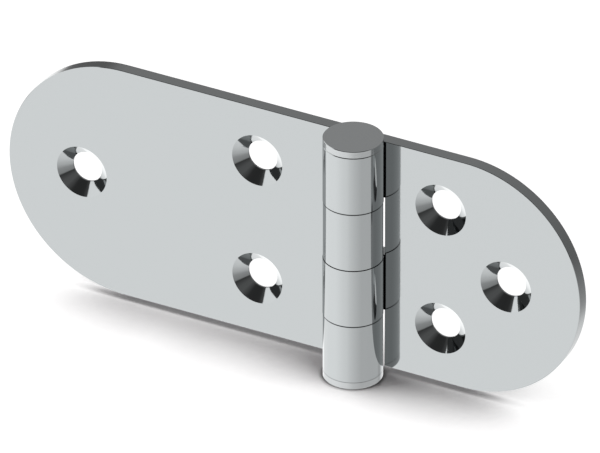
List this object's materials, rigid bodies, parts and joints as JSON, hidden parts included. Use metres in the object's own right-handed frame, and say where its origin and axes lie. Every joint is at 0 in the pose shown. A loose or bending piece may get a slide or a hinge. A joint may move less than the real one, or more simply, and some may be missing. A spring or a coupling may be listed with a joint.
{
  "type": "leaf hinge",
  "caption": "Surface-mounted leaf hinge: a long and a short round-ended leaf with curled knuckles on a capped pin, countersunk for screws, opened flat.",
  "frame": {"origin": "on the pin's axis, halfway up the leaves", "axes": "+Z along the pin towards its flat head, +X across the short leaf away from the pin, +Y out of the mounting faces, so -Y is the front, where the barrel stands proud and the screws go in"},
  "size_m": [0.0945, 0.0091, 0.0403],
  "materials": {
    "polished_sheet": "stainless sheet, polished nearly to a mirror",
    "turned_pin": "stainless bar, turned and polished"
  },
  "bodies": {
    "fixed_side": {"long_leaf": "polished_sheet", "hinge_pin": "turned_pin", "end_cap": "turned_pin"},
    "swinging_side": {"short_leaf": "polished_sheet"}
  },
  "joints": [
    {"name": "leaf_swing", "type": "hinge", "parent": "fixed_side", "child": "swinging_side", "pos_m": [0, 0, 0], "axis": [0, 0, 1], "range_deg": [-180, 64]}
  ]
}
